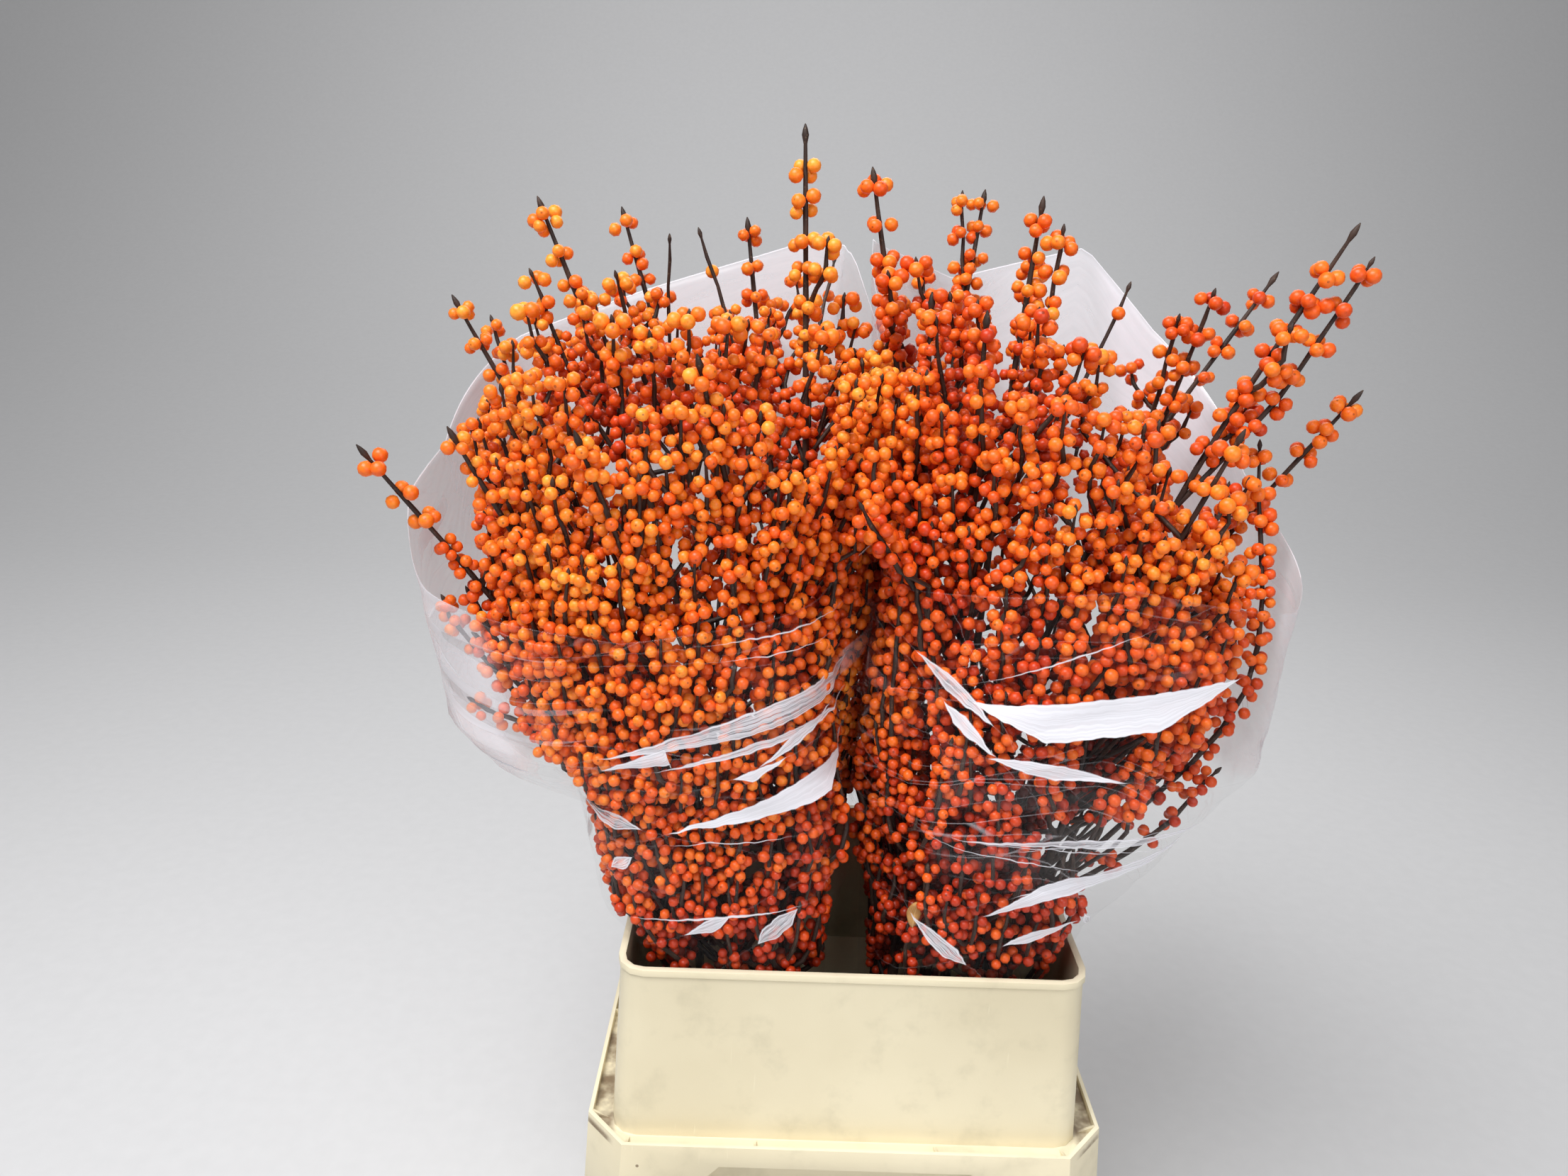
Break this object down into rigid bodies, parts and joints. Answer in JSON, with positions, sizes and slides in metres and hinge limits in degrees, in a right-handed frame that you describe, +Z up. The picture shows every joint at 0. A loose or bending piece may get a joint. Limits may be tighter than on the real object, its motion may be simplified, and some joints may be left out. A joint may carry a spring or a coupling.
{
  "type": "winterberry branches in a bucket",
  "caption": "Cut leafless branches covered in orange berries, in two clear film sleeves, standing in water in an ivory bucket with a deep collar.",
  "frame": {"origin": "middle of the bucket's flat underside", "axes": "+Z up along the stems, +X to the right and +Y to the back, seen from the front"},
  "size_m": [0.5726, 0.3092, 0.852],
  "materials": {
    "container": "satin",
    "water": "gloss",
    "film": "gloss",
    "berries": "satin",
    "bark": "matte",
    "leaf": "matte"
  },
  "bodies": {
    "root": {"bucket": "container", "collar": "container", "water": "water", "film_left": "film", "film_right": "film", "branch_left_1": "berries", "branch_left_2": "berries", "branch_left_3": "berries", "branch_left_4": "berries", "branch_left_5": "berries", "branch_left_6": "berries", "branch_left_7": "berries", "branch_left_8": "berries", "branch_left_9": "berries", "branch_right_1": "berries", "branch_right_2": "berries", "branch_right_3": "berries", "branch_right_4": "berries", "branch_right_5": "berries", "branch_right_6": "berries", "branch_right_7": "berries", "branch_right_8": "berries", "branch_right_9": "berries"}
  },
  "joints": []
}
